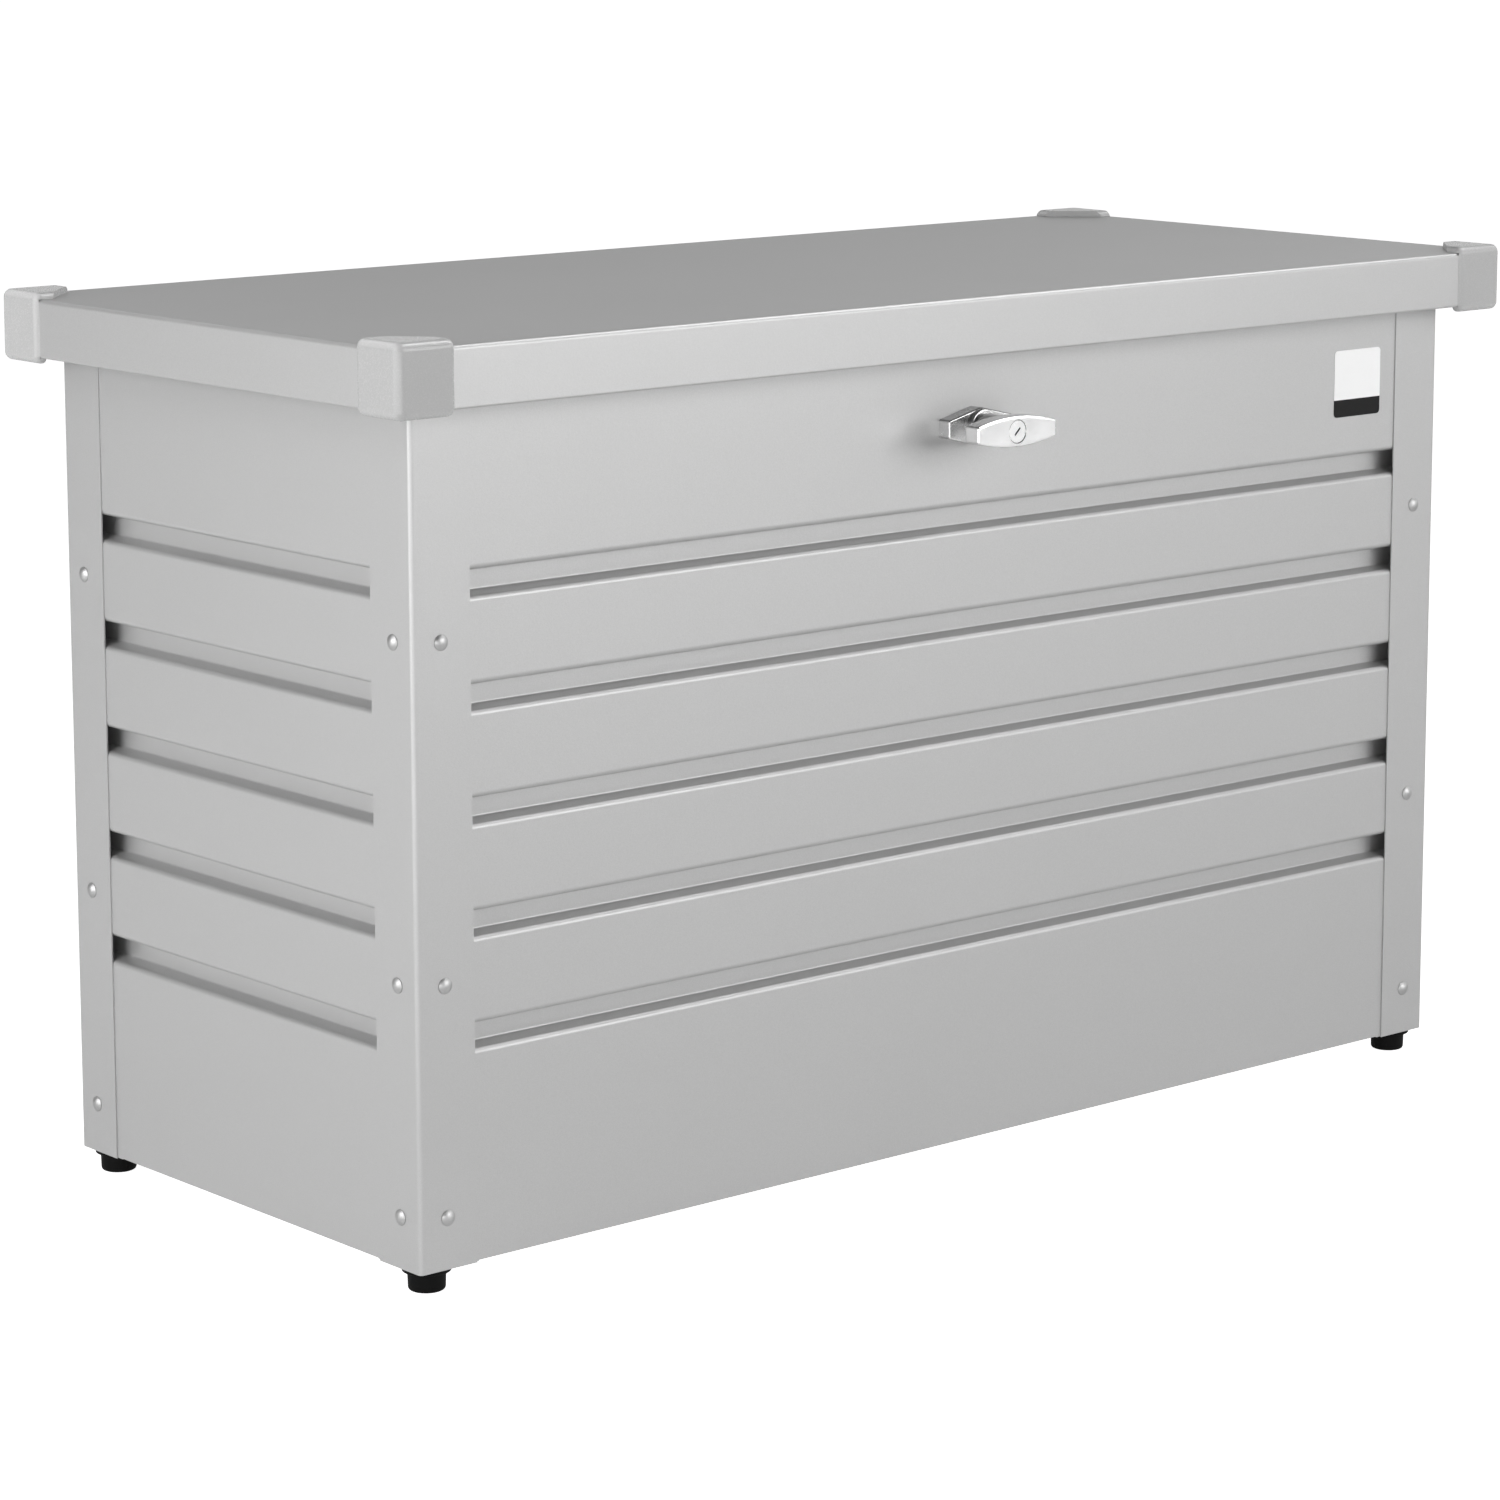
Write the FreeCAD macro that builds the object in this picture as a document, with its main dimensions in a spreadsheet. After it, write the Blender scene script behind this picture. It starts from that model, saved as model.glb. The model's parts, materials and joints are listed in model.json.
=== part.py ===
import FreeCAD, Part
import math
import os
import re
import Sketcher

# Sheet-metal deck storage box: four pressed wall panels held by corner posts, a hinged lid with
# plastic corner caps, a T-handle lock at the front and two gas struts inside.
# Row frame: origin on the ground under the middle of the box's outline, +X along its length,
# +Y to the back and +Z up. The handle stands out in front, so the walls are centred on body_centre.

SIZES = {
    # body
    "body_length": 946.0,
    "body_depth": 393.0,
    "body_centre": 10.25,
    "post_bottom": 16.0,
    "post_top": 592.0,
    "post_thickness": 1.0,
    "post_front_width": 45.0,
    "post_side_width": 43.5,
    "post_bend": 3.0,
    "wall_bottom": 17.0,
    "wall_top": 598.0,
    "wall_thickness": 1.0,
    "wall_bend": 2.5,
    "wall_flange": 12.0,
    "wall_return": 8.0,
    "front_panel_length": 914.0,
    "side_panel_length": 380.0,
    # pressed grooves across every wall
    "groove_first": 155.5,
    "groove_pitch": 72.6,
    "groove_height": 17.0,
    "groove_depth": 12.0,
    "groove_rise": 2.2,
    "groove_bend": 1.4,
    # floor
    "floor_level": 31.0,
    "floor_thickness": 1.0,
    "floor_length": 941.0,
    "floor_depth": 388.0,
    "floor_skirt": 11.0,
    "floor_corner": 60.0,
    "rail_width": 40.0,
    "rail_height": 12.0,
    "rail_length": 800.0,
    "rail_offset": 90.0,
    # lid
    "lid_length": 1005.0,
    "lid_depth": 445.0,
    "lid_shift": -4.0,
    "lid_bottom": 569.0,
    "lid_top": 608.5,
    "lid_thickness": 1.0,
    "lid_bend": 3.0,
    "lid_lip": 4.0,
    "lip_bend": 1.5,
    "cap_wall": 2.5,
    "cap_drop": 4.0,
    "cap_rise": 4.5,
    "cap_leg": 45.0,
    "cap_diagonal": 13.0,
    "cap_lip": 7.0,
    "cap_round": 5.5,
    "stiffener_offset": 210.0,
    "stiffener_front": -175.0,
    "stiffener_length": 325.0,
    "stiffener_web": 44.0,
    "stiffener_foot": 12.0,
    "stiffener_height": 15.0,
    "seal_width": 9.0,
    "seal_gap": 0.3,
    "seal_round": 3.0,
    "seal_inset": 1.0,
    "front_seal_length": 880.0,
    "side_seal_length": 340.0,
    # fasteners
    "screw_head_radius": 5.2,
    "screw_head_height": 2.4,
    "screw_radius": 2.5,
    "screw_hole_radius": 2.8,
    "screw_low": 50.0,
    "screw_middle": 201.0,
    "screw_high": 420.0,
    "screw_inset_front": 22.0,
    "screw_inset_side": 20.5,
    "nut_radius": 4.6,
    "nut_height": 3.2,
    # feet
    "foot_inset": 18.0,
    "foot_radius": 12.5,
    "foot_chamfer": 1.5,
    "foot_collar_radius": 16.0,
    "foot_collar_height": 3.5,
    "foot_stud_radius": 4.0,
    "foot_stud_top": 29.0,
    "bracket_leg": 46.0,
    "bracket_thickness": 2.0,
    "bracket_tab": 9.0,
    "foot_nut_radius": 7.0,
    "foot_nut_height": 6.0,
    # hinges
    "hinge_offset": 300.0,
    "hinge_width": 60.0,
    "hinge_axis_back": 207.5,
    "hinge_axis_level": 572.0,
    "hinge_knuckle_radius": 5.0,
    "hinge_pin_radius": 3.0,
    "running_fit": 0.05,
    "knuckle_gap": 0.5,
    "knuckle_width": 20.0,
    "leaf_thickness": 2.0,
    "wall_leaf_bottom": 528.0,
    "lid_leaf_top": 600.0,
    "rivet_head_radius": 4.0,
    "rivet_head_height": 1.6,
    "rivet_radius": 2.0,
    "rivet_tail": 1.0,
    "rivet_tail_radius": 3.2,
    # lock
    "lock_level": 517.7,
    "rosette_half_length": 29.5,
    "rosette_end": 6.2,
    "rosette_middle": 13.3,
    "rosette_thickness": 10.5,
    "rosette_crown": 6.0,
    "rosette_round": 1.8,
    "rosette_edge": 1.1,
    "collar_radius": 12.6,
    "collar_round": 1.4,
    "collar_height": 3.5,
    "barrel_radius": 10.5,
    "barrel_reach": 15.5,
    "barrel_hole_radius": 11.0,
    "spindle_radius": 8.0,
    "stem_radius": 10.0,
    "handle_reach": 46.0,
    "handle_thickness": 13.5,
    "handle_half_length": 36.2,
    "handle_end": 5.6,
    "handle_middle": 10.5,
    "handle_round": 1.6,
    "stem_overlap": 1.0,
    "plug_radius": 8.2,
    "plug_length": 11.0,
    "plug_chamfer": 0.7,
    "plug_recess": 0.3,
    "plug_clearance": 0.1,
    "keyway_width": 1.3,
    "keyway_length": 7.0,
    "lock_nut_radius": 16.0,
    "lock_nut_height": 5.0,
    "cam_plane": 25.5,
    "cam_thickness": 3.0,
    "cam_width": 16.0,
    "cam_length": 42.0,
    "cam_heel": 10.0,
    "square_size": 8.0,
    "cam_screw_radius": 4.6,
    "cam_screw_height": 3.5,
    "striker_left": 22.0,
    "striker_width": 18.0,
    "striker_thickness": 1.5,
    "striker_plane": 36.0,
    "striker_lip": 15.0,
    "striker_foot": 22.0,
    "striker_play": 1.2,
    # gas struts
    "strut_offset": 446.0,
    "strut_wall_back": -60.0,
    "strut_wall_level": 347.5,
    "strut_lid_back": 120.0,
    "strut_lid_level": 582.0,
    "strut_tube_radius": 7.5,
    "strut_tube_bore": 6.0,
    "strut_tube_length": 222.0,
    "strut_tube_base": 8.0,
    "strut_eye_overlap": 1.5,
    "strut_guide": 12.0,
    "strut_rod_radius": 4.0,
    "strut_eye_radius": 8.0,
    "strut_eye_width": 9.0,
    "strut_stud_radius": 4.0,
    "strut_piston_radius": 5.8,
    "strut_piston_length": 8.0,
    "strut_piston_start": 58.0,
    "strut_plate": 36.0,
    "strut_plate_thickness": 2.0,
    "strut_plate_round": 4.0,
    "strut_stud_end": 0.5,
    "lid_bracket_gap": 0.6,
    "lid_bracket_plane": 437.0,
    "lid_bracket_width": 28.0,
    "lid_bracket_drop": 36.0,
    "lid_bracket_flange": 16.0,
    # plain label on the front panel
    "label_width": 49.0,
    "label_height": 49.0,
    "label_thickness": 0.3,
    "label_round": 3.0,
    "label_offset": 387.5,
    "label_level": 516.4,
}
GROOVES = 5
UP = FreeCAD.Vector(0, 0, 1)
ACROSS = FreeCAD.Vector(1, 0, 0)
BACK = FreeCAD.Vector(0, 1, 0)

doc = FreeCAD.newDocument("deck_storage_box")
sheet = doc.addObject("Spreadsheet::Sheet", "Sizes")
for row, (alias, size) in enumerate(SIZES.items(), start=1):
    sheet.set("A%d" % row, alias)
    sheet.set("B%d" % row, str(size))
    sheet.setAlias("B%d" % row, alias)
doc.recompute()

# Expressions that several sub-parts share.
LIP_SLOPE = "(groove_rise / groove_depth)"
LIP_DROP = "(wall_thickness * (sqrt(1 + %s ^ 2) - %s))" % (LIP_SLOPE, LIP_SLOPE)
POST_FACE_X = "(body_length / 2)"
POST_FACE_Y = "(body_depth / 2)"
WALL_FACE_X = "(body_length / 2 - post_thickness)"
WALL_FACE_Y = "(body_depth / 2 - post_thickness)"
WALL_INSIDE_Y = "(body_depth / 2 - post_thickness - wall_thickness)"
WALL_INSIDE_X = "(body_length / 2 - post_thickness - wall_thickness)"
LID_INSIDE = "(lid_top - lid_thickness)"
LID_CENTRE = "(body_centre + lid_shift)"
HALF_LID_X = "(lid_length / 2)"
HALF_LID_Y = "(lid_depth / 2)"
SCREW_LEVELS = ("screw_low", "screw_middle", "screw_high")
SIDES = {"left": -1, "right": 1}
ENDS = {"front": -1, "rear": 1}
WALL_RIVET_LEVEL = "((wall_leaf_bottom + hinge_axis_level - hinge_knuckle_radius) / 2)"
LID_RIVET_LEVEL = "((lid_leaf_top + hinge_axis_level) / 2)"
RIVET_STEPS = (-1, 1)
RIVET_PLACES = ["%d * hinge_offset + %d * hinge_width / 4" % (side, step)
                for side in SIDES.values() for step in RIVET_STEPS]
# Radius of each kind of bend in the wall panels.
WALL_BENDS = {
    "inside": "wall_bend",
    "outside": "wall_bend + wall_thickness",
    "trough_in": "groove_bend",
    "trough_out": "groove_bend + wall_thickness",
}

nodes = []


# ---------------------------------------------------------------- helpers

def sized(text):
    """The expression with every named size read from the sheet."""
    return re.sub(r"[a-z_]{3,}", lambda word: qualified(word.group()), str(text))


def qualified(word):
    return "Sizes." + word if word in SIZES else word


def value(text):
    return float(sheet.evalExpression(sized(text)))


def bind(item, expressions):
    for name, text in expressions.items():
        item.setExpression(name, sized(text))


def place(item, x="0", y="0", z="0", turn=None):
    """Puts an item at the bound point, after an optional turn given as (axis, degrees)."""
    if turn:
        item.Placement = FreeCAD.Placement(FreeCAD.Vector(), FreeCAD.Rotation(*turn))
    bind(item, {"Placement.Base.x": x, "Placement.Base.y": y, "Placement.Base.z": z})


def new_body(label, x="0", y="0", z="0", turn=None, kept=True):
    body = doc.addObject("PartDesign::Body", label)
    body.Label = label
    place(body, x, y, z, turn)
    if kept:
        nodes.append(body)
    return body


def new_sketch(body, plane, level="0"):
    """A sketch on one of the body's own origin planes, lifted along that plane's normal."""
    sketch = body.newObject("Sketcher::SketchObject", body.Name + "_sketch")
    support = next(item for item in body.Origin.OriginFeatures if item.Role == plane)
    sketch.AttachmentSupport = (support, [""])
    sketch.MapMode = "FlatFace"
    bind(sketch, {"AttachmentOffset.Base.z": level})
    return sketch


def hold(sketch, line, point, x, y):
    """Dimensions one point of a line from the sketch's origin."""
    for kind, text in (("DistanceX", x), ("DistanceY", y)):
        index = sketch.addConstraint(Sketcher.Constraint(kind, -1, 1, line, point, value(text)))
        bind(sketch, {"Constraints[%d]" % index: text})


def outline(sketch, corners):
    """A closed outline of straight lines through the bound corners."""
    points = [FreeCAD.Vector(value(x), value(y), 0) for x, y in corners]
    first = sketch.GeometryCount
    for index, point in enumerate(points):
        following = points[(index + 1) % len(points)]
        sketch.addGeometry(Part.LineSegment(point, following), False)
    for index, (x, y) in enumerate(corners):
        following = first + (index + 1) % len(corners)
        sketch.addConstraint(Sketcher.Constraint("Coincident", first + index, 2, following, 1))
        hold(sketch, first + index, 1, x, y)


def rectangle(sketch, left, right, low, high):
    outline(sketch, [(left, low), (right, low), (right, high), (left, high)])


def circle(sketch, x, y, radius):
    centre = FreeCAD.Vector(value(x), value(y), 0)
    index = sketch.addGeometry(Part.Circle(centre, FreeCAD.Vector(0, 0, 1), value(radius)), False)
    hold(sketch, index, 3, x, y)
    dimension = sketch.addConstraint(Sketcher.Constraint("Radius", index, value(radius)))
    bind(sketch, {"Constraints[%d]" % dimension: radius})


def boat(sketch, half_length, end, middle):
    """A lens outline with blunt ends: its long sides are arcs that bulge from end to middle."""
    radius = "((%s ^ 2 + (%s - %s) ^ 2) / (2 * (%s - %s)))" % (half_length, middle, end, middle, end)
    length, low, high = value(half_length), value(end), value(middle)
    corners = [(length, -low), (length, low), (-length, low), (-length, -low)]
    right_low, right_high, left_high, left_low = [FreeCAD.Vector(x, y, 0) for x, y in corners]
    upper = Part.Arc(right_high, FreeCAD.Vector(0, high, 0), left_high)
    lower = Part.Arc(left_low, FreeCAD.Vector(0, -high, 0), right_low)
    sides = [Part.LineSegment(right_low, right_high), upper, Part.LineSegment(left_high, left_low), lower]
    for side in sides:
        sketch.addGeometry(side, False)
    for index in range(4):
        sketch.addConstraint(Sketcher.Constraint("Coincident", index, 2, (index + 1) % 4, 1))
    minus_length, minus_end = "-" + half_length, "-" + end
    hold(sketch, 0, 1, half_length, minus_end)
    hold(sketch, 0, 2, half_length, end)
    hold(sketch, 2, 1, minus_length, end)
    hold(sketch, 2, 2, minus_length, minus_end)
    for arc in (1, 3):
        dimension = sketch.addConstraint(Sketcher.Constraint("Radius", arc, value(radius)))
        bind(sketch, {"Constraints[%d]" % dimension: radius})


def lozenge(sketch, half_length, end, middle):
    """A long outline with blunt ends whose straight sides rise from end to middle."""
    outline(sketch, [(half_length, "-" + end), (half_length, end), ("0", middle), ("-" + half_length, end),
                     ("-" + half_length, "-" + end), ("0", "-" + middle)])


def pad(body, sketch, length, symmetric=False, reverse=False):
    feature = body.newObject("PartDesign::Pad", body.Name + "_pad")
    feature.Profile = sketch
    feature.SideType = "Symmetric" if symmetric else "One side"
    feature.Reversed = reverse
    bind(feature, {"Length": length})
    return feature


def pocket(body, sketch, length, symmetric=False, reverse=False):
    """A cut, which must take material away."""
    doc.recompute()
    before = body.Tip.Shape.Volume
    feature = body.newObject("PartDesign::Pocket", body.Name + "_pocket")
    feature.Profile = sketch
    feature.SideType = "Symmetric" if symmetric else "One side"
    feature.Reversed = reverse
    bind(feature, {"Length": length})
    doc.recompute()
    if feature.Shape.Volume > before - 0.001:
        raise RuntimeError("a pocket of %s cuts nothing" % body.Label)
    return feature


def revolve(body, sketch, axis="V_Axis"):
    feature = body.newObject("PartDesign::Revolution", body.Name + "_turned")
    feature.Profile = sketch
    feature.ReferenceAxis = (sketch, [axis])
    feature.Angle = 360
    return feature


def soften(body, radius, chosen, kind="Fillet"):
    """A fillet or chamfer on the edges of the body's last feature that the test chooses."""
    doc.recompute()
    base = body.Tip
    edges = base.Shape.Edges
    names = ["Edge%d" % (index + 1) for index, edge in enumerate(edges) if chosen(edge)]
    if not names:
        raise RuntimeError("no edges to soften on %s" % body.Label)
    feature = body.newObject("PartDesign::" + kind, body.Name + "_" + kind.lower())
    feature.Base = (base, names)
    bind(feature, {"Radius" if kind == "Fillet" else "Size": radius})
    doc.recompute()
    return feature


def runs_along(edge, axis):
    """Whether a straight edge is parallel to the axis."""
    if not isinstance(edge.Curve, Part.Line):
        return False
    return abs(abs(edge.tangentAt(edge.FirstParameter).dot(axis)) - 1) < 1e-6


def lies_at(edge, spots, first, second):
    """Whether the edge's middle is at one of the (first, second) coordinate pairs."""
    middle = edge.CenterOfMass
    here = (getattr(middle, first), getattr(middle, second))
    return any(abs(here[0] - spot[0]) < 0.01 and abs(here[1] - spot[1]) < 0.01 for spot in spots)


def group(label, prototype, spots):
    """One sub-part made of equal separate solids: a link to the prototype at each spot."""
    links = []
    for x, y, z, turn in spots:
        link = doc.addObject("App::Link", label + "_link")
        link.LinkedObject = prototype
        place(link, x, y, z, turn)
        links.append(link)
    compound = doc.addObject("Part::Compound", label)
    compound.Label = label
    compound.Links = links
    nodes.append(compound)


# ---------------------------------------------------------------- body

def wall_profile():
    """Corners of the pressed sheet seen from its end: Y runs inward and Z up.

    Each corner is (inward, up, bend): bend is a kind in WALL_BENDS, or edge where there is none.
    """
    outer = [("0", "wall_bottom", "edge")]
    inner = [("wall_thickness", "wall_bottom", "edge")]
    for index in range(GROOVES):
        low = "groove_first + %d * groove_pitch" % index
        high = low + " + groove_height"
        outer += [("0", low, "outside"), ("groove_depth", low + " + groove_rise", "trough_in")]
        outer += [("groove_depth", high, "inside"), ("0", high, "outside")]
        inner += [("wall_thickness", "%s - %s" % (low, LIP_DROP), "inside")]
        inner += [("groove_depth + wall_thickness", "%s + groove_rise - %s" % (low, LIP_DROP), "trough_out")]
        inner += [("groove_depth + wall_thickness", high + " + wall_thickness", "outside")]
        inner += [("wall_thickness", high + " + wall_thickness", "inside")]
    outer += [("0", "wall_top", "outside"), ("wall_flange", "wall_top", "outside")]
    outer += [("wall_flange", "wall_top - wall_return", "edge")]
    inner += [("wall_thickness", "wall_top - wall_thickness", "inside")]
    inner += [("wall_flange - wall_thickness", "wall_top - wall_thickness", "inside")]
    inner += [("wall_flange - wall_thickness", "wall_top - wall_return", "edge")]
    return outer + inner[::-1]


def wall_panel(label, length, x, y, turn, screw_inset):
    """One wall: a grooved sheet whose outer face is at local Y = 0, with six screw holes."""
    body = new_body(label, x, y, "0", turn)
    corners = wall_profile()
    profile = new_sketch(body, "YZ_Plane")
    outline(profile, [(inward, up) for inward, up, bend in corners])
    pad(body, profile, length, symmetric=True)
    for bend, radius in WALL_BENDS.items():
        spots = [(value(inward), value(up)) for inward, up, kind in corners if kind == bend]
        soften(body, radius, lambda edge: runs_along(edge, ACROSS) and lies_at(edge, spots, "y", "z"))
    holes = new_sketch(body, "XZ_Plane")
    for side in SIDES.values():
        for level in SCREW_LEVELS:
            circle(holes, "%d * (%s)" % (side, screw_inset), level, "screw_hole_radius")
    pocket(body, holes, "4 * wall_thickness", symmetric=True)
    return body


def walls():
    front_inset = "body_length / 2 - screw_inset_front"
    side_inset = "body_depth / 2 - screw_inset_side"
    front = wall_panel("front_panel", "front_panel_length", "0", "body_centre - " + WALL_FACE_Y,
                       None, front_inset)
    hole = new_sketch(front, "XZ_Plane")
    circle(hole, "0", "lock_level", "barrel_hole_radius")
    pocket(front, hole, "4 * wall_thickness", symmetric=True)
    rear = wall_panel("rear_panel", "front_panel_length", "0", "body_centre + " + WALL_FACE_Y,
                      (UP, 180), front_inset)
    rivet_holes(rear, [(x, WALL_RIVET_LEVEL) for x in RIVET_PLACES], "wall_thickness")
    wall_panel("left_panel", "side_panel_length", "-" + WALL_FACE_X, "body_centre", (UP, -90), side_inset)
    wall_panel("right_panel", "side_panel_length", WALL_FACE_X, "body_centre", (UP, 90), side_inset)


def corner_post(end, side):
    """An L-shaped post over the panels' ends, drawn from its outer corner inward."""
    label = "corner_post_%s_%s" % (end, side)
    along, across = -SIDES[side], -ENDS[end]
    body = new_body(label, "%d * %s" % (SIDES[side], POST_FACE_X),
                    "body_centre + %d * %s" % (ENDS[end], POST_FACE_Y), "post_bottom")
    front, deep, thick = ["%d * post_front_width" % along, "%d * post_side_width" % across, "post_thickness"]
    thick_x, thick_y = "%d * %s" % (along, thick), "%d * %s" % (across, thick)
    section = new_sketch(body, "XY_Plane")
    outline(section, [("0", "0"), (front, "0"), (front, thick_y), (thick_x, thick_y),
                      (thick_x, deep), ("0", deep)])
    pad(body, section, "post_top - post_bottom")
    soften(body, "post_bend", lambda edge: runs_along(edge, UP) and lies_at(edge, [(0, 0)], "x", "y"))
    inner_corner = [(value(thick_x), value(thick_y))]
    soften(body, "post_bend - post_thickness",
           lambda edge: runs_along(edge, UP) and lies_at(edge, inner_corner, "x", "y"))
    front_holes = new_sketch(body, "XZ_Plane")
    side_holes = new_sketch(body, "YZ_Plane")
    for level in SCREW_LEVELS:
        height = level + " - post_bottom"
        circle(front_holes, "%d * screw_inset_front" % along, height, "screw_hole_radius")
        circle(side_holes, "%d * screw_inset_side" % across, height, "screw_hole_radius")
    pocket(body, front_holes, "4 * post_thickness", symmetric=True)
    pocket(body, side_holes, "4 * post_thickness", symmetric=True)


def screw_spots(setback):
    """Every corner screw's place and turn: local +Z points out of the wall."""
    spots = []
    for level in SCREW_LEVELS:
        for side in SIDES.values():
            for end in ENDS.values():
                front_x = "%d * (body_length / 2 - screw_inset_front)" % side
                front_y = "body_centre + %d * (body_depth / 2 - %s)" % (end, setback)
                side_x = "%d * (body_length / 2 - %s)" % (side, setback)
                side_y = "body_centre + %d * (body_depth / 2 - screw_inset_side)" % end
                spots.append((front_x, front_y, level, (ACROSS, -90 * end)))
                spots.append((side_x, side_y, level, (BACK, 90 * side)))
    return spots


def post_fasteners():
    """Domed screws outside and hexagon nuts inside, at every corner of the walls."""
    screw = new_body("screw_pattern", kept=False)
    section = new_sketch(screw, "XZ_Plane")
    grip = "(post_thickness + wall_thickness + nut_height)"
    outline(section, [("0", "-" + grip), ("screw_radius", "-" + grip), ("screw_radius", "0"),
                      ("screw_head_radius", "0"), ("screw_head_radius", "screw_head_height / 3"),
                      ("screw_head_radius * 0.86", "screw_head_height * 0.72"),
                      ("screw_head_radius * 0.5", "screw_head_height"), ("0", "screw_head_height")])
    revolve(screw, section)
    group("post_screws", screw, screw_spots("0"))

    nut = new_body("nut_pattern", kept=False)
    hexagon = new_sketch(nut, "XY_Plane")
    hexagon_outline(hexagon, "nut_radius")
    pad(nut, hexagon, "nut_height")
    bore = new_sketch(nut, "XY_Plane")
    circle(bore, "0", "0", "screw_radius + running_fit")
    pocket(nut, bore, "3 * nut_height", symmetric=True)
    group("post_nuts", nut, screw_spots("post_thickness - wall_thickness - nut_height"))


def hexagon_outline(sketch, radius):
    corners = []
    for index in range(6):
        corners.append(("%s * cos(%d deg)" % (radius, 60 * index), "%s * sin(%d deg)" % (radius, 60 * index)))
    outline(sketch, corners)


def floor():
    """A flat floor sheet with its long and short edges turned down between the corners."""
    body = new_body("floor_panel", "0", "body_centre", "floor_level - floor_thickness")
    sheet_outline = new_sketch(body, "XY_Plane")
    half_x, half_y = "floor_length / 2", "floor_depth / 2"
    rectangle(sheet_outline, "-" + half_x, half_x, "-" + half_y, half_y)
    pad(body, sheet_outline, "floor_thickness")
    skirts = new_sketch(body, "XY_Plane")
    inner_x, inner_y = half_x + " - floor_thickness", half_y + " - floor_thickness"
    end_x, end_y = half_x + " - floor_corner", half_y + " - floor_corner"
    rectangle(skirts, "-(%s)" % end_x, end_x, inner_y, half_y)
    rectangle(skirts, "-(%s)" % end_x, end_x, "-" + half_y, "-(%s)" % inner_y)
    rectangle(skirts, inner_x, half_x, "-(%s)" % end_y, end_y)
    rectangle(skirts, "-" + half_x, "-(%s)" % inner_x, "-(%s)" % end_y, end_y)
    pad(body, skirts, "floor_skirt - floor_thickness", reverse=True)


def floor_rail(end):
    """A channel rail under the floor, open at the top where it meets the sheet."""
    body = new_body("floor_rail_" + end, "0", "body_centre + %d * rail_offset" % ENDS[end],
                    "floor_level - floor_thickness - rail_height")
    section = new_sketch(body, "YZ_Plane")
    half, thick = "rail_width / 2", "floor_thickness"
    outline(section, [("-" + half, "0"), (half, "0"), (half, "rail_height"),
                      (half + " - " + thick, "rail_height"), (half + " - " + thick, thick),
                      ("-(%s - %s)" % (half, thick), thick), ("-(%s - %s)" % (half, thick), "rail_height"),
                      ("-" + half, "rail_height")])
    pad(body, section, "rail_length", symmetric=True)


def corner_bracket(end, side):
    """The plate that carries a foot's stud, with a tab up each wall."""
    along, across = -SIDES[side], -ENDS[end]
    body = new_body("corner_bracket_%s_%s" % (end, side), "%d * %s" % (SIDES[side], WALL_INSIDE_X),
                    "body_centre + %d * %s" % (ENDS[end], WALL_INSIDE_Y), "post_bottom")
    leg_x, leg_y = "%d * bracket_leg" % along, "%d * bracket_leg" % across
    plate = new_sketch(body, "XY_Plane")
    outline(plate, [("0", "0"), (leg_x, "0"), (leg_x, leg_y + " / 2"), (leg_x + " / 2", leg_y), ("0", leg_y)])
    pad(body, plate, "bracket_thickness")
    tabs = new_sketch(body, "XY_Plane", "bracket_thickness")
    thick_x, thick_y = "%d * bracket_thickness" % along, "%d * bracket_thickness" % across
    outline(tabs, [("0", "0"), (leg_x, "0"), (leg_x, thick_y), (thick_x, thick_y),
                   (thick_x, leg_y), ("0", leg_y)])
    pad(body, tabs, "bracket_tab")
    hole = new_sketch(body, "XY_Plane")
    inset_x = "%d * (foot_inset - post_thickness - wall_thickness)" % along
    inset_y = "%d * (foot_inset - post_thickness - wall_thickness)" % across
    circle(hole, inset_x, inset_y, "foot_stud_radius + running_fit")
    pocket(body, hole, "3 * bracket_thickness", symmetric=True)


def foot(end, side):
    """A screw-in foot: pad, wider collar under the post and a stud through the bracket."""
    body = new_body("foot_%s_%s" % (end, side), "%d * (%s - foot_inset)" % (SIDES[side], POST_FACE_X),
                    "body_centre + %d * (%s - foot_inset)" % (ENDS[end], POST_FACE_Y), "0")
    section = new_sketch(body, "XZ_Plane")
    collar = "post_bottom - foot_collar_height"
    outline(section, [("0", "0"), ("foot_radius - foot_chamfer", "0"), ("foot_radius", "foot_chamfer"),
                      ("foot_radius", collar), ("foot_collar_radius", collar),
                      ("foot_collar_radius", "post_bottom"), ("foot_stud_radius", "post_bottom"),
                      ("foot_stud_radius", "foot_stud_top"), ("0", "foot_stud_top")])
    revolve(body, section)


def foot_nuts():
    nut = new_body("foot_nut_pattern", kept=False)
    hexagon = new_sketch(nut, "XY_Plane")
    hexagon_outline(hexagon, "foot_nut_radius")
    pad(nut, hexagon, "foot_nut_height")
    bore = new_sketch(nut, "XY_Plane")
    circle(bore, "0", "0", "foot_stud_radius + running_fit")
    pocket(nut, bore, "3 * foot_nut_height", symmetric=True)
    spots = []
    for end in ENDS.values():
        for side in SIDES.values():
            spots.append(("%d * (%s - foot_inset)" % (side, POST_FACE_X),
                          "body_centre + %d * (%s - foot_inset)" % (end, POST_FACE_Y),
                          "post_bottom + bracket_thickness", None))
    group("foot_nuts", nut, spots)


def seal(label, length, x, y, turn):
    """A rubber strip on a wall's top flange, just short of the closed lid."""
    body = new_body(label, x, y, "wall_top", turn)
    section = new_sketch(body, "YZ_Plane")
    top = "%s - wall_top - seal_gap" % LID_INSIDE
    rectangle(section, "seal_inset", "seal_inset + seal_width", "0", top)
    pad(body, section, length, symmetric=True)
    soften(body, "seal_round", lambda edge: runs_along(edge, ACROSS) and edge.CenterOfMass.z > 1)


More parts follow.
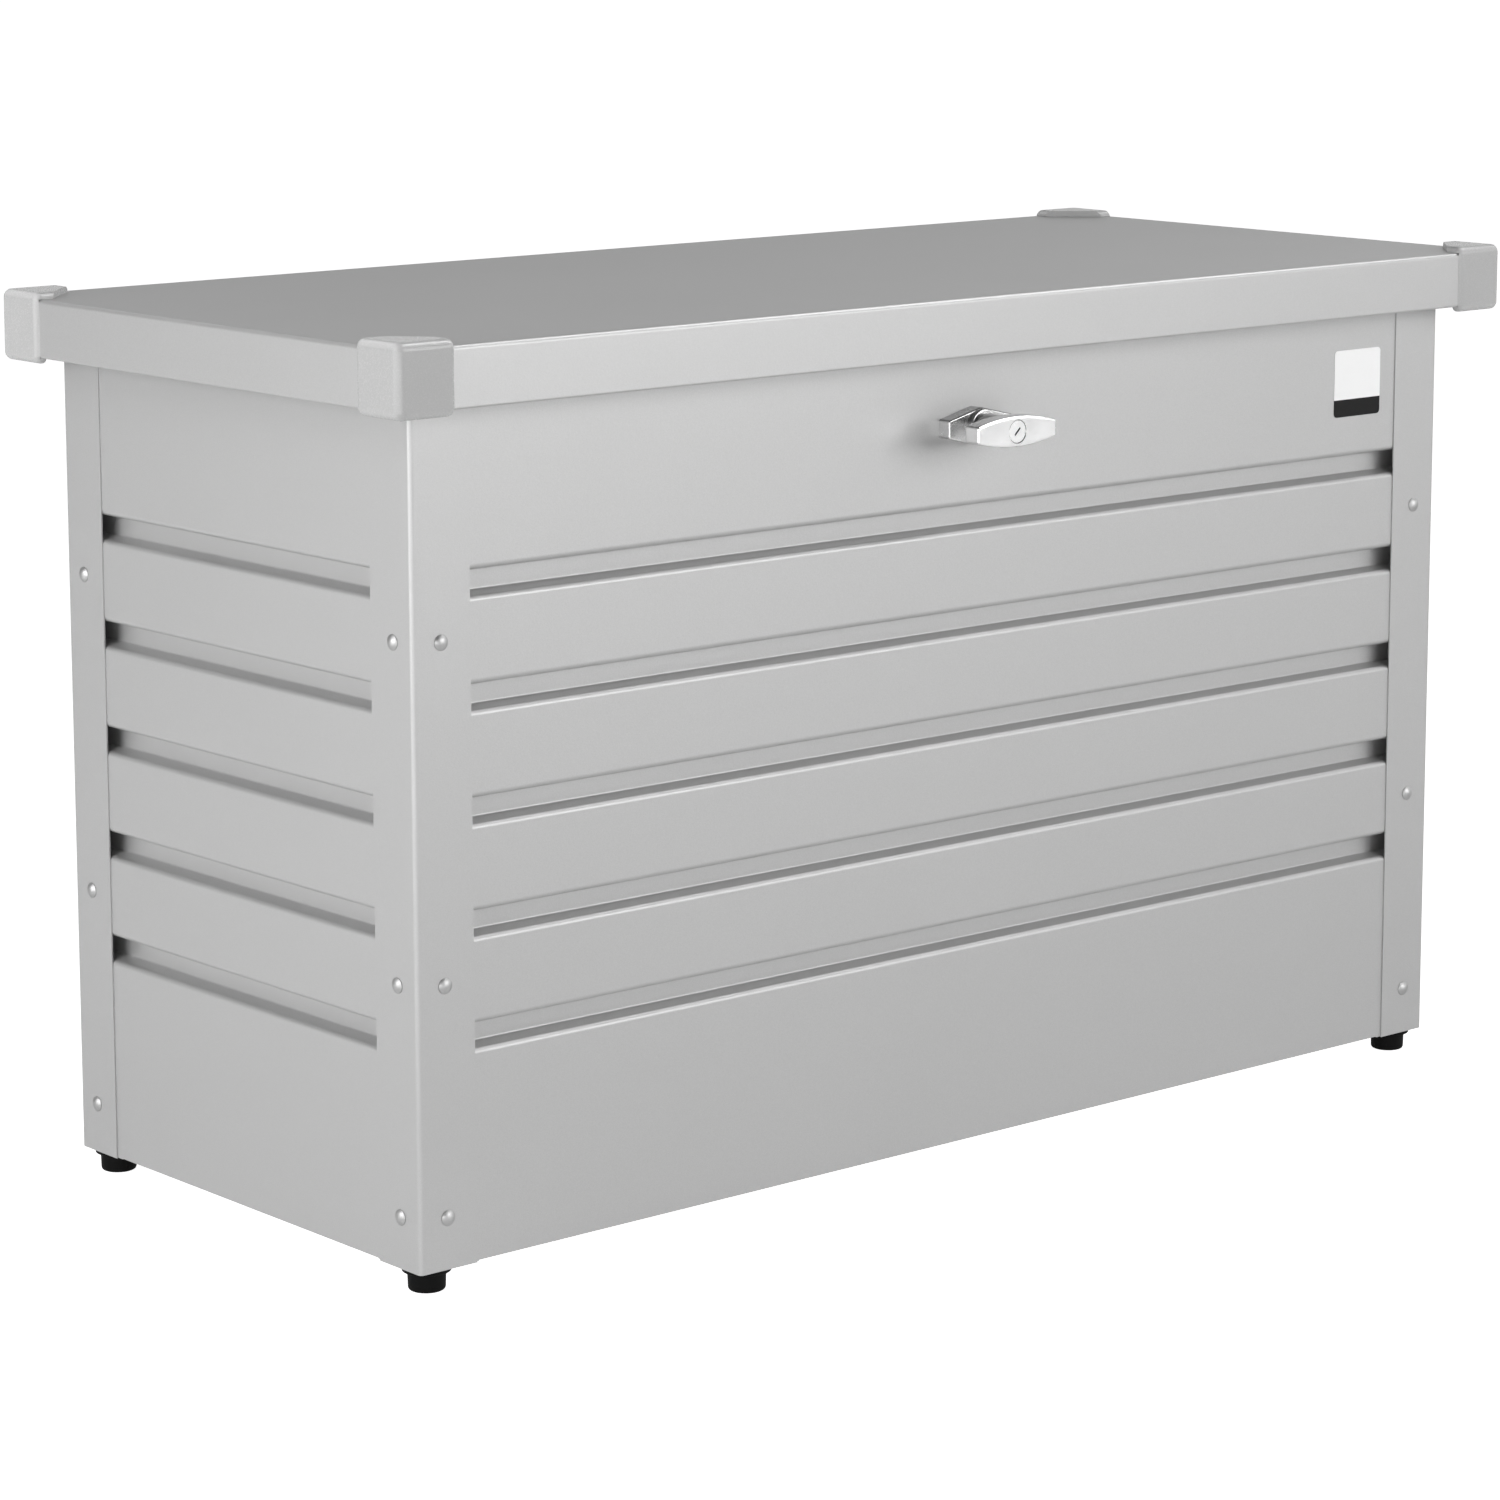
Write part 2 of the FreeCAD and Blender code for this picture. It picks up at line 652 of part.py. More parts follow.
def seals():
    seal("front_seal", "front_seal_length", "0", "body_centre - " + WALL_FACE_Y, None)
    seal("rear_seal", "front_seal_length", "0", "body_centre + " + WALL_FACE_Y, (UP, 180))
    seal("left_seal", "side_seal_length", "-" + WALL_FACE_X, "body_centre", (UP, -90))
    seal("right_seal", "side_seal_length", WALL_FACE_X, "body_centre", (UP, 90))


# ---------------------------------------------------------------- lid

def lid_shell():
    """The folded lid: a flat top, a skirt on four sides and a lip turned in along its edge."""
    body = new_body("lid_shell", "0", LID_CENTRE, "lid_bottom")
    half_x, half_y = HALF_LID_X, HALF_LID_Y
    block = new_sketch(body, "XY_Plane")
    rectangle(block, "-" + half_x, half_x, "-" + half_y, half_y)
    pad(body, block, "lid_top - lid_bottom")
    top = value("lid_top - lid_bottom")
    soften(body, "lid_bend", lambda edge: abs(edge.CenterOfMass.z - top) < 0.01)
    cavity = new_sketch(body, "XY_Plane")
    inside_x, inside_y = half_x + " - lid_thickness", half_y + " - lid_thickness"
    rectangle(cavity, "-(%s)" % inside_x, inside_x, "-(%s)" % inside_y, inside_y)
    pocket(body, cavity, "lid_top - lid_bottom - lid_thickness", reverse=True)
    ceiling = value("lid_top - lid_bottom - lid_thickness")
    soften(body, "lid_bend - lid_thickness", lambda edge: abs(edge.CenterOfMass.z - ceiling) < 0.01)
    lip = new_sketch(body, "XY_Plane")
    rectangle(lip, "-" + half_x, half_x, "-" + half_y, half_y)
    opening_x, opening_y = half_x + " - lid_lip", half_y + " - lid_lip"
    rectangle(lip, "-(%s)" % opening_x, opening_x, "-(%s)" % opening_y, opening_y)
    pad(body, lip, "lid_thickness")
    soften(body, "lip_bend", is_outer_rim)
    rivet_holes(body, [(x, LID_RIVET_LEVEL + " - lid_bottom") for x in RIVET_PLACES], HALF_LID_Y)


def is_outer_rim(edge):
    """Whether an edge runs round the outside of the lid's open side."""
    middle = edge.CenterOfMass
    at_end = abs(abs(middle.x) - value(HALF_LID_X)) < 0.01
    at_side = abs(abs(middle.y) - value(HALF_LID_Y)) < 0.01
    return abs(middle.z) < 0.01 and (at_end or at_side)


def corner_cap(end, side):
    """A moulded cap over a corner of the lid, drawn from its outer corner inward."""
    along, across = -SIDES[side], -ENDS[end]
    body = new_body("lid_cap_%s_%s" % (end, side), "%d * (lid_length / 2 + cap_wall)" % SIDES[side],
                    "%s + %d * (lid_depth / 2 + cap_wall)" % (LID_CENTRE, ENDS[end]),
                    "lid_bottom - cap_drop")
    x = "%d * (" % along
    y = "%d * (" % across
    block = new_sketch(body, "XY_Plane")
    leg_x, leg_y = x + "cap_leg)", y + "cap_leg)"
    outline(block, [("0", "0"), (leg_x, "0"), (leg_x, leg_y), ("0", leg_y)])
    pad(body, block, "lid_top - lid_bottom + cap_drop + cap_rise")
    leg = value("cap_leg")
    soften(body, "cap_round", lambda edge: not (abs(abs(edge.CenterOfMass.x) - leg) < 0.01
                                                and abs(abs(edge.CenterOfMass.y) - leg) < 0.01))
    far = "2 * cap_leg)"
    lid_space = new_sketch(body, "XY_Plane", "cap_drop")
    cut_corner(lid_space, x, y, "cap_wall)", far)
    pocket(body, lid_space, "lid_top - lid_bottom", reverse=True)
    below = new_sketch(body, "XY_Plane")
    cut_corner(below, x, y, "cap_lip)", far)
    pocket(body, below, "cap_drop", reverse=True)
    slant = new_sketch(body, "XY_Plane", "cap_drop")
    outline(slant, [(x + far, y + "cap_diagonal - cap_leg)"), (x + far, y + far),
                    (x + "cap_diagonal - cap_leg)", y + far)])
    pocket(body, slant, "lid_top", reverse=True)


def cut_corner(sketch, x, y, near, far):
    outline(sketch, [(x + near, y + near), (x + far, y + near), (x + far, y + far), (x + near, y + far)])


def lid_stiffener(side):
    """A hat-shaped rail across the underside of the lid."""
    body = new_body("lid_stiffener_" + side, "%d * stiffener_offset" % SIDES[side],
                    "body_centre + stiffener_front", LID_INSIDE)
    section = new_sketch(body, "XZ_Plane")
    half, thick, foot_end = "stiffener_web / 2", "lid_thickness", "(stiffener_web / 2 + stiffener_foot)"
    low, web = "-stiffener_height", "(%s - %s)" % (half, thick)
    outline(section, [("-" + foot_end, "0"), ("-" + foot_end, "-" + thick), ("-" + half, "-" + thick),
                      ("-" + half, low), (half, low), (half, "-" + thick), (foot_end, "-" + thick),
                      (foot_end, "0"), (web, "0"), (web, low + " + " + thick),
                      ("-" + web, low + " + " + thick), ("-" + web, "0")])
    pad(body, section, "stiffener_length", reverse=True)


# ---------------------------------------------------------------- hinges

HINGE_Y = "(body_centre + hinge_axis_back)"


def hinge_body(label, side):
    return new_body(label + side, "%d * hinge_offset" % SIDES[side], HINGE_Y, "hinge_axis_level")


def knuckle(body, width, radius="hinge_knuckle_radius"):
    section = new_sketch(body, "YZ_Plane")
    circle(section, "0", "0", radius)
    pad(body, section, width, symmetric=True)


def pin_bore(body):
    bore = new_sketch(body, "YZ_Plane")
    circle(bore, "0", "0", "hinge_pin_radius + running_fit")
    pocket(body, bore, "2 * hinge_width", symmetric=True)


def rivet_holes(body, spots, depth):
    """Rivet holes along Y, cut from a plane at the given depth behind the body's origin."""
    holes = new_sketch(body, "XZ_Plane", "-" + depth)
    for x, z in spots:
        circle(holes, x, z, "rivet_radius + running_fit")
    pocket(body, holes, "4 * leaf_thickness", symmetric=True)


def leaf_spots(level):
    return [("%d * hinge_width / 4" % step, level + " - hinge_axis_level") for step in RIVET_STEPS]


def hinge_wall_leaf(side):
    """The fixed leaf: a plate on the rear panel, an arm and the two outer knuckles."""
    body = hinge_body("hinge_wall_leaf_", side)
    inner = "(%s - hinge_axis_back)" % WALL_FACE_Y
    outer = "(%s + leaf_thickness)" % inner
    low = "wall_leaf_bottom - hinge_axis_level"
    arm, reach = "leaf_thickness / 2", "-(hinge_knuckle_radius + hinge_pin_radius) / 2"
    plate = new_sketch(body, "YZ_Plane")
    outline(plate, [(inner, low), (outer, low), (outer, "-" + arm), (reach, "-" + arm),
                    (reach, arm), (inner, arm)])
    pad(body, plate, "hinge_width", symmetric=True)
    knuckle(body, "hinge_width")
    room = new_sketch(body, "YZ_Plane")
    circle(room, "0", "0", "hinge_knuckle_radius + knuckle_gap")
    pocket(body, room, "hinge_width - 2 * knuckle_width + 2 * knuckle_gap", symmetric=True)
    pin_bore(body)
    rivet_holes(body, leaf_spots(WALL_RIVET_LEVEL), inner)


def hinge_lid_leaf(side):
    """The moving leaf: a plate inside the lid's rear skirt, an arm and the middle knuckle."""
    body = hinge_body("hinge_lid_leaf_", side)
    outer = "(lid_depth / 2 + lid_shift - lid_thickness - hinge_axis_back)"
    inner = "(%s - leaf_thickness)" % outer
    arm, reach = "leaf_thickness / 2", "(hinge_knuckle_radius + hinge_pin_radius) / 2"
    high = "lid_leaf_top - hinge_axis_level"
    width = "hinge_width - 2 * knuckle_width"
    tongue = new_sketch(body, "YZ_Plane")
    outline(tongue, [(reach, "-" + arm), (outer, "-" + arm), (outer, arm), (reach, arm)])
    pad(body, tongue, width, symmetric=True)
    knuckle(body, width)
    plate = new_sketch(body, "YZ_Plane")
    outline(plate, [(inner, "-" + arm), (outer, "-" + arm), (outer, high), (inner, high)])
    pad(body, plate, "hinge_width", symmetric=True)
    pin_bore(body)
    rivet_holes(body, leaf_spots(LID_RIVET_LEVEL), outer)


def hinge_pin(side):
    body = hinge_body("hinge_pin_", side)
    section = new_sketch(body, "YZ_Plane")
    circle(section, "0", "0", "hinge_pin_radius")
    pad(body, section, "hinge_width + 2 * rivet_head_height", symmetric=True)


def hinge_rivets():
    """Domed rivets, two in each leaf, clamped behind it by a flat tail."""
    rivet = new_body("rivet_pattern", kept=False)
    section = new_sketch(rivet, "XZ_Plane")
    grip, tail = "(leaf_thickness + wall_thickness)", "(leaf_thickness + wall_thickness + rivet_tail)"
    outline(section, [("0", "-" + tail), ("rivet_tail_radius", "-" + tail), ("rivet_tail_radius", "-" + grip),
                      ("rivet_radius", "-" + grip), ("rivet_radius", "0"), ("rivet_head_radius", "0"),
                      ("rivet_head_radius * 0.9", "rivet_head_height * 0.6"),
                      ("rivet_head_radius * 0.5", "rivet_head_height"), ("0", "rivet_head_height")])
    revolve(rivet, section)
    wall_y = "body_centre + %s + leaf_thickness" % WALL_FACE_Y
    lid_y = "%s + %s" % (LID_CENTRE, HALF_LID_Y)
    facing_back = (ACROSS, -90)
    group("hinge_wall_rivets", rivet, [(x, wall_y, WALL_RIVET_LEVEL, facing_back) for x in RIVET_PLACES])
    group("hinge_lid_rivets", rivet, [(x, lid_y, LID_RIVET_LEVEL, facing_back) for x in RIVET_PLACES])


# ---------------------------------------------------------------- lock

LOCK_Y = "(body_centre - %s)" % WALL_FACE_Y


def lock_rosette():
    """The tapered base on the panel, its round collar and the threaded barrel behind."""
    body = new_body("lock_rosette", "0", LOCK_Y, "lock_level")
    base = new_sketch(body, "XZ_Plane")
    lozenge(base, "rosette_half_length", "rosette_end", "rosette_middle")
    pad(body, base, "rosette_thickness")
    soften(body, "rosette_crown", lambda edge: runs_along(edge, BACK) and abs(edge.CenterOfMass.x) < 0.01)
    tip = value("rosette_half_length")
    soften(body, "rosette_round",
           lambda edge: runs_along(edge, BACK) and abs(abs(edge.CenterOfMass.x) - tip) < 0.01)
    front = value("rosette_thickness")
    soften(body, "rosette_edge", lambda edge: abs(edge.CenterOfMass.y + front) < 0.01)
    collar = new_sketch(body, "XZ_Plane")
    circle(collar, "0", "0", "collar_radius")
    pad(body, collar, "rosette_thickness + collar_height")
    rim = front + value("collar_height")
    soften(body, "collar_round", lambda edge: abs(edge.CenterOfMass.y + rim) < 0.01)
    barrel = new_sketch(body, "XZ_Plane")
    circle(barrel, "0", "0", "barrel_radius")
    pad(body, barrel, "barrel_reach", reverse=True)
    bore = new_sketch(body, "XZ_Plane")
    circle(bore, "0", "0", "spindle_radius + running_fit")
    pocket(body, bore, "6 * barrel_reach", symmetric=True)


def lock_nut():
    """The nut that clamps the barrel from inside the front panel."""
    body = new_body("lock_nut", "0", LOCK_Y + " + wall_thickness", "lock_level")
    hexagon = new_sketch(body, "XZ_Plane")
    hexagon_outline(hexagon, "lock_nut_radius")
    pad(body, hexagon, "lock_nut_height", reverse=True)
    bore = new_sketch(body, "XZ_Plane")
    circle(bore, "0", "0", "barrel_radius + running_fit")
    pocket(body, bore, "4 * lock_nut_height", symmetric=True)


def handle():
    """The T-handle: boat-shaped grip, stem, spindle and the square end that drives the cam."""
    body = new_body("handle", "0", LOCK_Y, "lock_level")
    reach = "(handle_reach - handle_thickness)"
    grip = new_sketch(body, "XZ_Plane", reach)
    boat(grip, "handle_half_length", "handle_end", "handle_middle")
    pad(body, grip, "handle_thickness")
    soften(body, "handle_round", lambda edge: True)
    shoulder = "(rosette_thickness + collar_height + knuckle_gap)"
    stem = new_sketch(body, "XZ_Plane", shoulder)
    circle(stem, "0", "0", "stem_radius")
    pad(body, stem, reach + " - " + shoulder + " + stem_overlap")
    spindle = new_sketch(body, "XZ_Plane", shoulder)
    circle(spindle, "0", "0", "spindle_radius")
    pad(body, spindle, shoulder + " + cam_plane - cam_thickness", reverse=True)
    square = new_sketch(body, "XZ_Plane", "-(cam_plane - cam_thickness)")
    half = "square_size / 2"
    rectangle(square, "-" + half, half, "-" + half, half)
    pad(body, square, "cam_thickness + cam_thickness", reverse=True)
    bore = new_sketch(body, "XZ_Plane", "handle_reach")
    circle(bore, "0", "0", "plug_radius + running_fit")
    pocket(body, bore, "plug_recess + plug_length + plug_clearance")


def lock_plug():
    """The key cylinder's face, with its keyway."""
    body = new_body("lock_plug", "0", LOCK_Y + " - handle_reach + plug_recess + plug_length", "lock_level")
    face = new_sketch(body, "XZ_Plane")
    circle(face, "0", "0", "plug_radius")
    pad(body, face, "plug_length")
    front = value("plug_length")
    soften(body, "plug_chamfer", lambda edge: abs(edge.CenterOfMass.y + front) < 0.01, "Chamfer")
    keyway = new_sketch(body, "XZ_Plane", "plug_length")
    reach, half = "keyway_length / 2", "keyway_width / 2"
    diagonal = "sqrt(2)"
    across, slim = "(%s / %s)" % (reach, diagonal), "(%s / %s)" % (half, diagonal)
    outline(keyway, [("-%s - %s" % (across, slim), "-%s + %s" % (across, slim)),
                     ("-%s + %s" % (across, slim), "-%s - %s" % (across, slim)),
                     ("%s + %s" % (across, slim), "%s - %s" % (across, slim)),
                     ("%s - %s" % (across, slim), "%s + %s" % (across, slim))])
    pocket(body, keyway, "plug_length / 2")


def latch_cam():
    """The tongue on the square end of the spindle, which points up while the lock is open."""
    body = new_body("latch_cam", "0", LOCK_Y + " + cam_plane", "lock_level")
    half = "cam_width / 2"
    plate = new_sketch(body, "XZ_Plane")
    rectangle(plate, "-" + half, half, "-cam_heel", "cam_length")
    pad(body, plate, "cam_thickness")
    soften(body, "cam_width / 4", lambda edge: runs_along(edge, BACK))
    hole = new_sketch(body, "XZ_Plane")
    side = "(square_size / 2 + running_fit)"
    rectangle(hole, "-" + side, side, "-" + side, side)
    pocket(body, hole, "4 * cam_thickness", symmetric=True)


def cam_screw():
    body = new_body("cam_screw", "0", LOCK_Y + " + cam_plane + cam_thickness", "lock_level")
    hexagon = new_sketch(body, "XZ_Plane")
    hexagon_outline(hexagon, "cam_screw_radius")
    pad(body, hexagon, "cam_screw_height", reverse=True)


def latch_striker():
    """The hook on the lid: a foot on its underside, a strap down and a lip under the tongue."""
    body = new_body("latch_striker", "striker_left + striker_width / 2", LOCK_Y + " + striker_plane",
                    "lock_level")
    section = new_sketch(body, "YZ_Plane")
    ceiling, lip_top = "(%s - lock_level)" % LID_INSIDE, "(-cam_width / 2 - striker_play)"
    thick = "striker_thickness"
    outline(section, [("0", ceiling), ("0", lip_top), ("-striker_lip + " + thick, lip_top),
                      ("-striker_lip + " + thick, lip_top + " - " + thick), (thick, lip_top + " - " + thick),
                      (thick, ceiling + " - " + thick), ("striker_foot", ceiling + " - " + thick),
                      ("striker_foot", ceiling)])
    pad(body, section, "striker_width", symmetric=True)


# ---------------------------------------------------------------- gas struts

STRUT_Y = "(body_centre + strut_wall_back)"
STRUT_RUN = "(strut_lid_back - strut_wall_back)"
STRUT_CLIMB = "(strut_lid_level - strut_wall_level)"
STRUT_CLOSED = "sqrt(%s ^ 2 + %s ^ 2)" % (STRUT_RUN, STRUT_CLIMB)
STRUT_LEAN = math.degrees(math.atan2(value(STRUT_RUN), value(STRUT_CLIMB)))


def strut_wall_bracket(side):
    """A plate on the side panel with the stud that the tube's eye turns on."""
    sign = SIDES[side]
    body = new_body("strut_wall_bracket_" + side, "%d * %s" % (sign, WALL_INSIDE_X), STRUT_Y,
                    "strut_wall_level")
    half = "strut_plate / 2"
    inward = sign > 0
    plate = new_sketch(body, "YZ_Plane")
    rectangle(plate, "-" + half, half, "-" + half, half)
    pad(body, plate, "strut_plate_thickness", reverse=inward)
    soften(body, "strut_plate_round", lambda edge: runs_along(edge, ACROSS))
    stud = new_sketch(body, "YZ_Plane")
    circle(stud, "0", "0", "strut_stud_radius")
    pad(body, stud, "%s - strut_offset + strut_eye_width / 2 + strut_stud_end" % WALL_INSIDE_X,
        reverse=inward)


def strut_tube(side):
    """The pressure tube along its own +Z, with its eye on the wall stud and a rod guide."""
    body = new_body("strut_tube_" + side, "%d * strut_offset" % SIDES[side], STRUT_Y, "strut_wall_level",
                    (ACROSS, -STRUT_LEAN))
    start = "(strut_eye_radius - strut_eye_overlap)"
    end = "(%s + strut_tube_length)" % start
    section = new_sketch(body, "XZ_Plane")
    bore = "(strut_rod_radius + running_fit)"
    outline(section, [("0", start), ("strut_tube_radius", start), ("strut_tube_radius", end), (bore, end),
                      (bore, end + " - strut_guide"), ("strut_tube_bore", end + " - strut_guide"),
                      ("strut_tube_bore", start + " + strut_tube_base"), ("0", start + " + strut_tube_base")])
    revolve(body, section)
    eye = new_sketch(body, "YZ_Plane")
    circle(eye, "0", "0", "strut_eye_radius")
    pad(body, eye, "strut_eye_width", symmetric=True)
    hole = new_sketch(body, "YZ_Plane")
    circle(hole, "0", "0", "strut_stud_radius + running_fit")
    pocket(body, hole, "4 * strut_tube_radius", symmetric=True)


def strut_rod(side):
    """The rod with its piston inside the tube and, at its top, the eye that meets the lid."""
    body = new_body("strut_rod_" + side, "%d * strut_offset" % SIDES[side], STRUT_Y, "strut_wall_level",
                    (ACROSS, -STRUT_LEAN))
    start, shoulder = "strut_piston_start", "(strut_piston_start + strut_piston_length)"
    section = new_sketch(body, "XZ_Plane")
    outline(section, [("0", start), ("strut_piston_radius", start), ("strut_piston_radius", shoulder),
                      ("strut_rod_radius", shoulder), ("strut_rod_radius", STRUT_CLOSED),
                      ("0", STRUT_CLOSED)])
    revolve(body, section)
    eye = new_sketch(body, "YZ_Plane")
    circle(eye, "0", STRUT_CLOSED, "strut_eye_radius")
    pad(body, eye, "strut_eye_width", symmetric=True)
    stud = new_sketch(body, "YZ_Plane")
    circle(stud, "0", STRUT_CLOSED, "strut_stud_radius")
    pad(body, stud, "strut_offset - lid_bracket_plane - lid_bracket_gap", reverse=SIDES[side] > 0)


def strut_lid_bracket(side):
    """An angle under the lid beside the rod's stud; the stud stops just short of it."""
    sign = SIDES[side]
    body = new_body("strut_lid_bracket_" + side, "%d * lid_bracket_plane" % sign,
                    "body_centre + strut_lid_back", LID_INSIDE)
    thick, away = "strut_plate_thickness", -sign
    section = new_sketch(body, "XZ_Plane")
    side_x, flange_x = "%d * %s" % (away, thick), "%d * lid_bracket_flange" % away
    outline(section, [("0", "0"), ("0", "-lid_bracket_drop"), (side_x, "-lid_bracket_drop"),
                      (side_x, "-" + thick), (flange_x, "-" + thick), (flange_x, "0")])
    pad(body, section, "lid_bracket_width", symmetric=True)


# ---------------------------------------------------------------- label

def label_plate():
    """A plain rounded label on the upper right of the front panel."""
    body = new_body("label", "label_offset", LOCK_Y, "label_level")
    face = new_sketch(body, "XZ_Plane")
    rectangle(face, "-label_width / 2", "label_width / 2", "-label_height / 2", "label_height / 2")
    pad(body, face, "label_thickness")
    soften(body, "label_round", lambda edge: runs_along(edge, BACK))


# ---------------------------------------------------------------- assembly

walls()
for end in ENDS:
    for side in SIDES:
        corner_post(end, side)
        corner_bracket(end, side)
        foot(end, side)
        corner_cap(end, side)
    floor_rail(end)
floor()
post_fasteners()
foot_nuts()
seals()
lid_shell()
for side in SIDES:
    lid_stiffener(side)
    hinge_wall_leaf(side)
    hinge_lid_leaf(side)
    hinge_pin(side)
    strut_wall_bracket(side)
    strut_tube(side)
    strut_rod(side)
    strut_lid_bracket(side)
hinge_rivets()
lock_rosette()
lock_nut()
handle()
lock_plug()
latch_cam()
cam_screw()
latch_striker()
label_plate()

doc.recompute()
for item in doc.Objects:
    if "Invalid" in item.State or "Error" in item.State:
        raise RuntimeError("%s did not compute: %s" % (item.Label, item.State))
for node in nodes:
    if node.Shape.isNull() or not node.Shape.isValid():
        raise RuntimeError("%s has no valid shape" % node.Label)
os.makedirs("parts", exist_ok=True)
for node in nodes:
    node.Shape.exportStep("parts/%s.step" % node.Label)
print("%d sub-parts written" % len(nodes))
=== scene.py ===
import json
import math

import bmesh
import bpy
from mathutils import Matrix, Vector


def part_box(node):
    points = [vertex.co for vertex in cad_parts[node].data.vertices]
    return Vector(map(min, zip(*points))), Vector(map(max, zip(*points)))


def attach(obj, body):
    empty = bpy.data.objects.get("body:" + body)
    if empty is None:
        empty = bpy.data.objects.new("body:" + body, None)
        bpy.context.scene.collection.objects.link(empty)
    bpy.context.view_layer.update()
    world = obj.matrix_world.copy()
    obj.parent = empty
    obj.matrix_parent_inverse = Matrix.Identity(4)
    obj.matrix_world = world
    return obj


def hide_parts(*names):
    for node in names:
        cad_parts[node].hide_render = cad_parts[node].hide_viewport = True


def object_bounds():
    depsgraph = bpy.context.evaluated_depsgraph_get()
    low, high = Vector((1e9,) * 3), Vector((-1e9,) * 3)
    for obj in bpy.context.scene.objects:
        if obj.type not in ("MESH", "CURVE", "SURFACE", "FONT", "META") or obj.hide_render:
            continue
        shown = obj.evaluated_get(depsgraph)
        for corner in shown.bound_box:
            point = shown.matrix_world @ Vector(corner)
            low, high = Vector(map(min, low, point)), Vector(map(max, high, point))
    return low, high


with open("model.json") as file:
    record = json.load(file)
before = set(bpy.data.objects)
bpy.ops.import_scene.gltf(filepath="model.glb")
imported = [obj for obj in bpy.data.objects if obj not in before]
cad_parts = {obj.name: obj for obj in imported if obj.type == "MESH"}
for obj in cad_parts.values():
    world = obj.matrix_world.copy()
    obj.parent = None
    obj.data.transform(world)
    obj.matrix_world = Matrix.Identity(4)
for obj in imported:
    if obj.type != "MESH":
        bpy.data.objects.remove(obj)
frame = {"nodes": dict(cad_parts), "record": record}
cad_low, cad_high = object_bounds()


# ---------------------------------------------------------------- camera

CAMERA_PLACE = (-2.1679, -2.48745, 0.9244)
YAW, PITCH, ROLL = math.radians(40.558), math.radians(9.47), math.radians(-0.085)
SENSOR_WIDTH = 36.0
FOCAL_PIXELS, FRAME_PIXELS = 4687.8, 1500.0
SHIFT_Y = -0.10


def make_camera():
    """A long lens at the front left, a little above the lid: yaw clockwise from +Y, pitch downwards."""
    ahead = Vector((math.sin(YAW) * math.cos(PITCH), math.cos(YAW) * math.cos(PITCH), -math.sin(PITCH)))
    level = Vector((math.cos(YAW), -math.sin(YAW), 0.0))
    upright = level.cross(ahead)
    right = level * math.cos(ROLL) + upright * math.sin(ROLL)
    up = right.cross(ahead)
    turn = Matrix((right, up, -ahead)).transposed()
    data = bpy.data.cameras.new("camera")
    data.sensor_width = SENSOR_WIDTH
    data.lens = SENSOR_WIDTH * FOCAL_PIXELS / FRAME_PIXELS
    data.shift_y = SHIFT_Y
    data.clip_start = 0.05
    data.clip_end = 200.0
    camera = bpy.data.objects.new("camera", data)
    camera.matrix_world = Matrix.Translation(CAMERA_PLACE) @ turn.to_4x4()
    bpy.context.scene.collection.objects.link(camera)
    bpy.context.scene.camera = camera


# ---------------------------------------------------------------- materials

MIX_COLOUR_A, MIX_COLOUR_B, MIX_COLOUR_RESULT = 6, 7, 2


def feed(tree, socket, value):
    """Link the value to the socket if it is one itself, or else set it there."""
    if isinstance(value, bpy.types.NodeSocket):
        tree.links.new(value, socket)
    else:
        socket.default_value = value


class Nodes:
    """A material's node tree, built one line per node."""

    def __init__(self, name):
        self.material = bpy.data.materials.new(name)
        self.material.use_nodes = True
        self.tree = self.material.node_tree
        self.shader = self.tree.nodes["Principled BSDF"]

    def add(self, kind, inputs=None, **settings):
        node = self.tree.nodes.new("ShaderNode" + kind)
        for key, setting in settings.items():
            setattr(node, key, setting)
        for key, value in (inputs or {}).items():
            feed(self.tree, node.inputs[key], value)
        return node

    def noise(self, scale, detail=2.0, rough=0.5):
        place = self.add("TexCoord").outputs["Object"]
        node = self.add("TexNoise", {"Vector": place, "Scale": scale, "Detail": detail, "Roughness": rough})
        return node.outputs["Fac"]

    def facing(self):
        """The X, Y and Z of the surface's direction in the object's own frame."""
        return self.add("SeparateXYZ", {0: self.add("TexCoord").outputs["Normal"]}).outputs

    def spread(self, value, low, high, start=0.3, end=0.7):
        """A value from start to end drawn out to low to high."""
        node = self.add("MapRange", {"Value": value, "From Min": start, "From Max": end, "To Min": low,
                                     "To Max": high})
        return node.outputs["Result"]

    def between(self, fac, first, second):
        """A colour mixed from the first to the second."""
        node = self.add("Mix", data_type="RGBA")
        feed(self.tree, node.inputs["Factor"], fac)
        feed(self.tree, node.inputs[MIX_COLOUR_A], first)
        feed(self.tree, node.inputs[MIX_COLOUR_B], second)
        return node.outputs[MIX_COLOUR_RESULT]

    def bump(self, height, strength, distance, normal=None):
        inputs = {"Height": height, "Strength": strength, "Distance": distance}
        if normal is not None:
            inputs["Normal"] = normal
        return self.add("Bump", inputs).outputs["Normal"]

    def finish(self, **sockets):
        """Feed the shader's sockets, with _ for the spaces in their names, and return the material."""
        for name, value in sockets.items():
            feed(self.tree, self.shader.inputs[name.replace("_", " ")], value)
        return self.material


def grey(level):
    return (level, level, level, 1.0)


